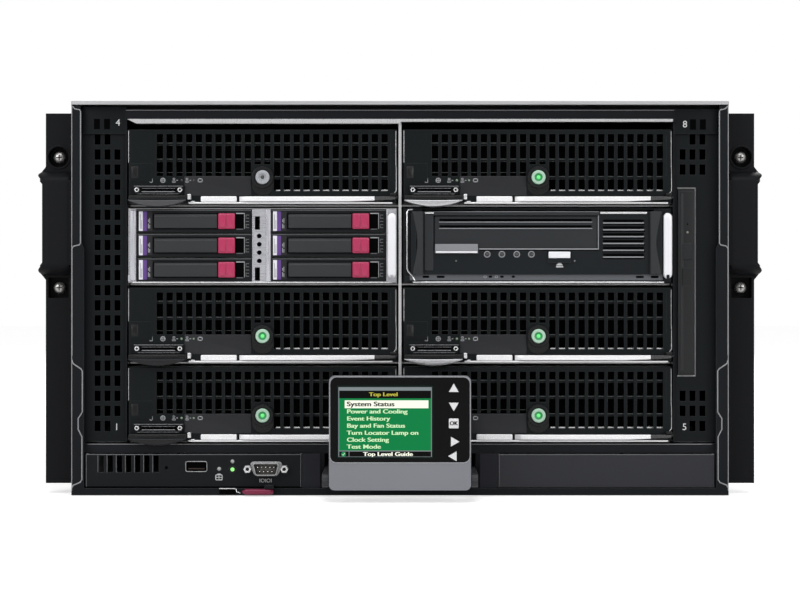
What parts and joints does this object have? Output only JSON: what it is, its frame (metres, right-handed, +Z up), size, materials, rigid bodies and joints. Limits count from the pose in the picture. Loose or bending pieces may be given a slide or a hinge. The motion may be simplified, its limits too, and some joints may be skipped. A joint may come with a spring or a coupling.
{
  "type": "blade server chassis",
  "caption": "Rack-mount blade enclosure with sliding server blades on cam levers, a storage blade of disc sleds, a tape blade and a pop-up fold-back display.",
  "frame": {"origin": "centre of the underside, in the plane of the rack posts' front faces", "axes": "+X to the right seen from the front, +Y towards the back, +Z up"},
  "size_m": [0.4906, 0.8814, 0.265],
  "materials": {
    "painted_pan": "satin black powder coat",
    "cover_steel": "bright zinc-plated sheet",
    "divider_steel": "plated sheet",
    "board": "green board with black sockets",
    "vent_black": "satin black",
    "rail_black": "satin black",
    "ear_black": "fine-textured black moulding",
    "drive_steel": "plated sheet",
    "drive_black": "satin black moulding",
    "display_black": "semi-gloss black",
    "display_glass": "lit green screen",
    "key_white": "pale legend keys",
    "carriage_grey": "dark grey",
    "module_black": "satin black face",
    "cover_grey": "satin dark grey blank",
    "burgundy": "touch-point burgundy",
    "blade_case": "black moulded bezel on a plated steel case",
    "lever_silver": "silver lever",
    "button_grey": "translucent button",
    "storage_steel": "bright plated front strip and case",
    "handle_white": "silver-white moulding",
    "sled_black": "black carrier with burgundy latch",
    "tape_grey": "charcoal moulded face",
    "fan_black": "black moulding",
    "supply_steel": "plated sheet",
    "switch_grey": "grey enamel",
    "frame_steel": "plated sheet"
  },
  "bodies": {
    "chassis": {"base_pan": "painted_pan", "top_cover": "cover_steel", "bay_dividers": "divider_steel", "midplane": "board", "left_vent_panel": "vent_black", "right_vent_panel": "vent_black", "front_rails": "rail_black", "left_rack_ear": "ear_black", "right_rack_ear": "ear_black", "rear_frame": "frame_steel", "optical_drive_case": "drive_steel", "fan_modules": "fan_black", "power_supplies": "supply_steel", "interconnect_modules": "switch_grey"},
    "optical_tray": {"optical_tray": "drive_black"},
    "display_carriage": {"display_carriage": "carriage_grey"},
    "management_module": {"management_module": "module_black"},
    "management_lever": {"management_lever": "burgundy"},
    "spare_module_cover": {"spare_module_cover": "cover_grey"},
    "storage_blade": {"storage_blade": "storage_steel"},
    "storage_handle": {"storage_handle": "handle_white"},
    "tape_blade": {"tape_blade": "tape_grey"},
    "tape_handle": {"tape_handle": "lever_silver"},
    "key_up": {"key_up": "key_white"},
    "key_down": {"key_down": "key_white"},
    "key_ok": {"key_ok": "key_white"},
    "key_right": {"key_right": "key_white"},
    "key_left": {"key_left": "key_white"},
    "server_blade_1": {"server_blade_1": "blade_case"},
    "blade_lever_1": {"blade_lever_1": "lever_silver"},
    "power_button_1": {"power_button_1": "button_grey"},
    "server_blade_2": {"server_blade_2": "blade_case"},
    "blade_lever_2": {"blade_lever_2": "lever_silver"},
    "power_button_2": {"power_button_2": "button_grey"},
    "server_blade_4": {"server_blade_4": "blade_case"},
    "blade_lever_4": {"blade_lever_4": "lever_silver"},
    "power_button_4": {"power_button_4": "button_grey"},
    "server_blade_5": {"server_blade_5": "blade_case"},
    "blade_lever_5": {"blade_lever_5": "lever_silver"},
    "power_button_5": {"power_button_5": "button_grey"},
    "server_blade_6": {"server_blade_6": "blade_case"},
    "blade_lever_6": {"blade_lever_6": "lever_silver"},
    "power_button_6": {"power_button_6": "button_grey"},
    "server_blade_8": {"server_blade_8": "blade_case"},
    "blade_lever_8": {"blade_lever_8": "lever_silver"},
    "power_button_8": {"power_button_8": "button_grey"},
    "drive_sled_1": {"drive_sled_1": "sled_black"},
    "fan_rotor_1": {"fan_rotor_1": "fan_black"},
    "drive_sled_2": {"drive_sled_2": "sled_black"},
    "fan_rotor_2": {"fan_rotor_2": "fan_black"},
    "drive_sled_3": {"drive_sled_3": "sled_black"},
    "fan_rotor_3": {"fan_rotor_3": "fan_black"},
    "drive_sled_4": {"drive_sled_4": "sled_black"},
    "fan_rotor_4": {"fan_rotor_4": "fan_black"},
    "drive_sled_5": {"drive_sled_5": "sled_black"},
    "fan_rotor_5": {"fan_rotor_5": "fan_black"},
    "drive_sled_6": {"drive_sled_6": "sled_black"},
    "fan_rotor_6": {"fan_rotor_6": "fan_black"},
    "display": {"display_housing": "display_black", "display_screen": "display_glass"}
  },
  "joints": [
    {"name": "display_slide", "type": "slide", "parent": "chassis", "child": "display_carriage", "axis": [0, -1, 0], "range_m": [0, 0.11]},
    {"name": "display_tilt", "type": "hinge", "parent": "display_carriage", "child": "display", "pos_m": [0, -0.076, 0.014], "axis": [-1, 0, 0], "range_deg": [0, 90]},
    {"name": "blade_8_slide", "type": "slide", "parent": "chassis", "child": "server_blade_8", "axis": [0, -1, 0], "range_m": [0, 0.5]},
    {"name": "blade_lever_8_turn", "type": "hinge", "parent": "server_blade_8", "child": "blade_lever_8", "pos_m": [0.1822, -0.0266, 0.1976], "axis": [0, 0, 1], "range_deg": [0, 60]},
    {"name": "blade_4_slide", "type": "slide", "parent": "chassis", "child": "server_blade_4", "axis": [0, -1, 0], "range_m": [0, 0.5]},
    {"name": "blade_lever_4_turn", "type": "hinge", "parent": "server_blade_4", "child": "blade_lever_4", "pos_m": [-0.0037, -0.0266, 0.1976], "axis": [0, 0, 1], "range_deg": [0, 60]},
    {"name": "blade_2_slide", "type": "slide", "parent": "chassis", "child": "server_blade_2", "axis": [0, -1, 0], "range_m": [0, 0.5]},
    {"name": "blade_lever_2_turn", "type": "hinge", "parent": "server_blade_2", "child": "blade_lever_2", "pos_m": [-0.0037, -0.0266, 0.0906], "axis": [0, 0, 1], "range_deg": [0, 60]},
    {"name": "blade_6_slide", "type": "slide", "parent": "chassis", "child": "server_blade_6", "axis": [0, -1, 0], "range_m": [0, 0.5]},
    {"name": "blade_lever_6_turn", "type": "hinge", "parent": "server_blade_6", "child": "blade_lever_6", "pos_m": [0.1822, -0.0266, 0.0906], "axis": [0, 0, 1], "range_deg": [0, 60]},
    {"name": "blade_5_slide", "type": "slide", "parent": "chassis", "child": "server_blade_5", "axis": [0, -1, 0], "range_m": [0, 0.035]},
    {"name": "blade_lever_5_turn", "type": "hinge", "parent": "server_blade_5", "child": "blade_lever_5", "pos_m": [0.1822, -0.0266, 0.0371], "axis": [0, 0, 1], "range_deg": [0, 60]},
    {"name": "blade_1_slide", "type": "slide", "parent": "chassis", "child": "server_blade_1", "axis": [0, -1, 0], "range_m": [0, 0.035]},
    {"name": "blade_lever_1_turn", "type": "hinge", "parent": "server_blade_1", "child": "blade_lever_1", "pos_m": [-0.0037, -0.0266, 0.0371], "axis": [0, 0, 1], "range_deg": [0, 38]},
    {"name": "storage_blade_slide", "type": "slide", "parent": "chassis", "child": "storage_blade", "axis": [0, -1, 0], "range_m": [0, 0.5]},
    {"name": "storage_handle_turn", "type": "hinge", "parent": "storage_blade", "child": "storage_handle", "pos_m": [-0.0055, -0.0265, 0.1479], "axis": [1, 0, 0], "range_deg": [0, 75]},
    {"name": "tape_blade_slide", "type": "slide", "parent": "chassis", "child": "tape_blade", "axis": [0, -1, 0], "range_m": [0, 0.5]},
    {"name": "tape_handle_turn", "type": "hinge", "parent": "tape_blade", "child": "tape_handle", "pos_m": [0.1804, -0.0265, 0.1479], "axis": [1, 0, 0], "range_deg": [0, 75]},
    {"name": "management_module_slide", "type": "slide", "parent": "chassis", "child": "management_module", "axis": [0, -1, 0], "range_m": [0, 0.2]},
    {"name": "management_lever_turn", "type": "hinge", "parent": "management_module", "child": "management_lever", "pos_m": [-0.0877, -0.0333, 0.0006], "axis": [0, 0, 1], "range_deg": [0, 70]},
    {"name": "optical_tray_slide", "type": "slide", "parent": "chassis", "child": "optical_tray", "axis": [0, -1, 0], "range_m": [0, 0.115]},
    {"name": "spare_cover_slide", "type": "slide", "parent": "chassis", "child": "spare_module_cover", "axis": [0, -1, 0], "range_m": [0, 0.06]},
    {"name": "sled_1_slide", "type": "slide", "parent": "storage_blade", "child": "drive_sled_1", "axis": [0, -1, 0], "range_m": [0, 0.1]},
    {"name": "sled_2_slide", "type": "slide", "parent": "storage_blade", "child": "drive_sled_2", "axis": [0, -1, 0], "range_m": [0, 0.1]},
    {"name": "sled_3_slide", "type": "slide", "parent": "storage_blade", "child": "drive_sled_3", "axis": [0, -1, 0], "range_m": [0, 0.1]},
    {"name": "sled_4_slide", "type": "slide", "parent": "storage_blade", "child": "drive_sled_4", "axis": [0, -1, 0], "range_m": [0, 0.1]},
    {"name": "sled_5_slide", "type": "slide", "parent": "storage_blade", "child": "drive_sled_5", "axis": [0, -1, 0], "range_m": [0, 0.1]},
    {"name": "sled_6_slide", "type": "slide", "parent": "storage_blade", "child": "drive_sled_6", "axis": [0, -1, 0], "range_m": [0, 0.1]},
    {"name": "fan_1_spin", "type": "hinge", "parent": "chassis", "child": "fan_rotor_1", "pos_m": [-0.1605, 0.7701, 0.04457], "axis": [0, 1, 0], "continuous": true},
    {"name": "fan_2_spin", "type": "hinge", "parent": "chassis", "child": "fan_rotor_2", "pos_m": [-0.1605, 0.7701, 0.1319], "axis": [0, 1, 0], "continuous": true},
    {"name": "fan_3_spin", "type": "hinge", "parent": "chassis", "child": "fan_rotor_3", "pos_m": [-0.1605, 0.7701, 0.21923], "axis": [0, 1, 0], "continuous": true},
    {"name": "fan_4_spin", "type": "hinge", "parent": "chassis", "child": "fan_rotor_4", "pos_m": [0.1605, 0.7701, 0.04457], "axis": [0, 1, 0], "continuous": true},
    {"name": "fan_5_spin", "type": "hinge", "parent": "chassis", "child": "fan_rotor_5", "pos_m": [0.1605, 0.7701, 0.1319], "axis": [0, 1, 0], "continuous": true},
    {"name": "fan_6_spin", "type": "hinge", "parent": "chassis", "child": "fan_rotor_6", "pos_m": [0.1605, 0.7701, 0.21923], "axis": [0, 1, 0], "continuous": true},
    {"name": "power_button_1_press", "type": "slide", "parent": "server_blade_1", "child": "power_button_1", "axis": [0, 1, 0], "range_m": [0, 0.001], "stiffness_N_per_m": 800},
    {"name": "power_button_2_press", "type": "slide", "parent": "server_blade_2", "child": "power_button_2", "axis": [0, 1, 0], "range_m": [0, 0.001], "stiffness_N_per_m": 800},
    {"name": "power_button_4_press", "type": "slide", "parent": "server_blade_4", "child": "power_button_4", "axis": [0, 1, 0], "range_m": [0, 0.001], "stiffness_N_per_m": 800},
    {"name": "power_button_5_press", "type": "slide", "parent": "server_blade_5", "child": "power_button_5", "axis": [0, 1, 0], "range_m": [0, 0.001], "stiffness_N_per_m": 800},
    {"name": "power_button_6_press", "type": "slide", "parent": "server_blade_6", "child": "power_button_6", "axis": [0, 1, 0], "range_m": [0, 0.001], "stiffness_N_per_m": 800},
    {"name": "power_button_8_press", "type": "slide", "parent": "server_blade_8", "child": "power_button_8", "axis": [0, 1, 0], "range_m": [0, 0.001], "stiffness_N_per_m": 800},
    {"name": "key_up_press", "type": "slide", "parent": "display", "child": "key_up", "axis": [0, 1, 0], "range_m": [0, 0.0006], "stiffness_N_per_m": 300},
    {"name": "key_down_press", "type": "slide", "parent": "display", "child": "key_down", "axis": [0, 1, 0], "range_m": [0, 0.0006], "stiffness_N_per_m": 300},
    {"name": "key_ok_press", "type": "slide", "parent": "display", "child": "key_ok", "axis": [0, 1, 0], "range_m": [0, 0.0006], "stiffness_N_per_m": 300},
    {"name": "key_right_press", "type": "slide", "parent": "display", "child": "key_right", "axis": [0, 1, 0], "range_m": [0, 0.0006], "stiffness_N_per_m": 300},
    {"name": "key_left_press", "type": "slide", "parent": "display", "child": "key_left", "axis": [0, 1, 0], "range_m": [0, 0.0006], "stiffness_N_per_m": 300}
  ],
  "couplings": [
    {"joint": "display_tilt", "follows": "display_slide", "rad_per_m": 14.279}
  ]
}
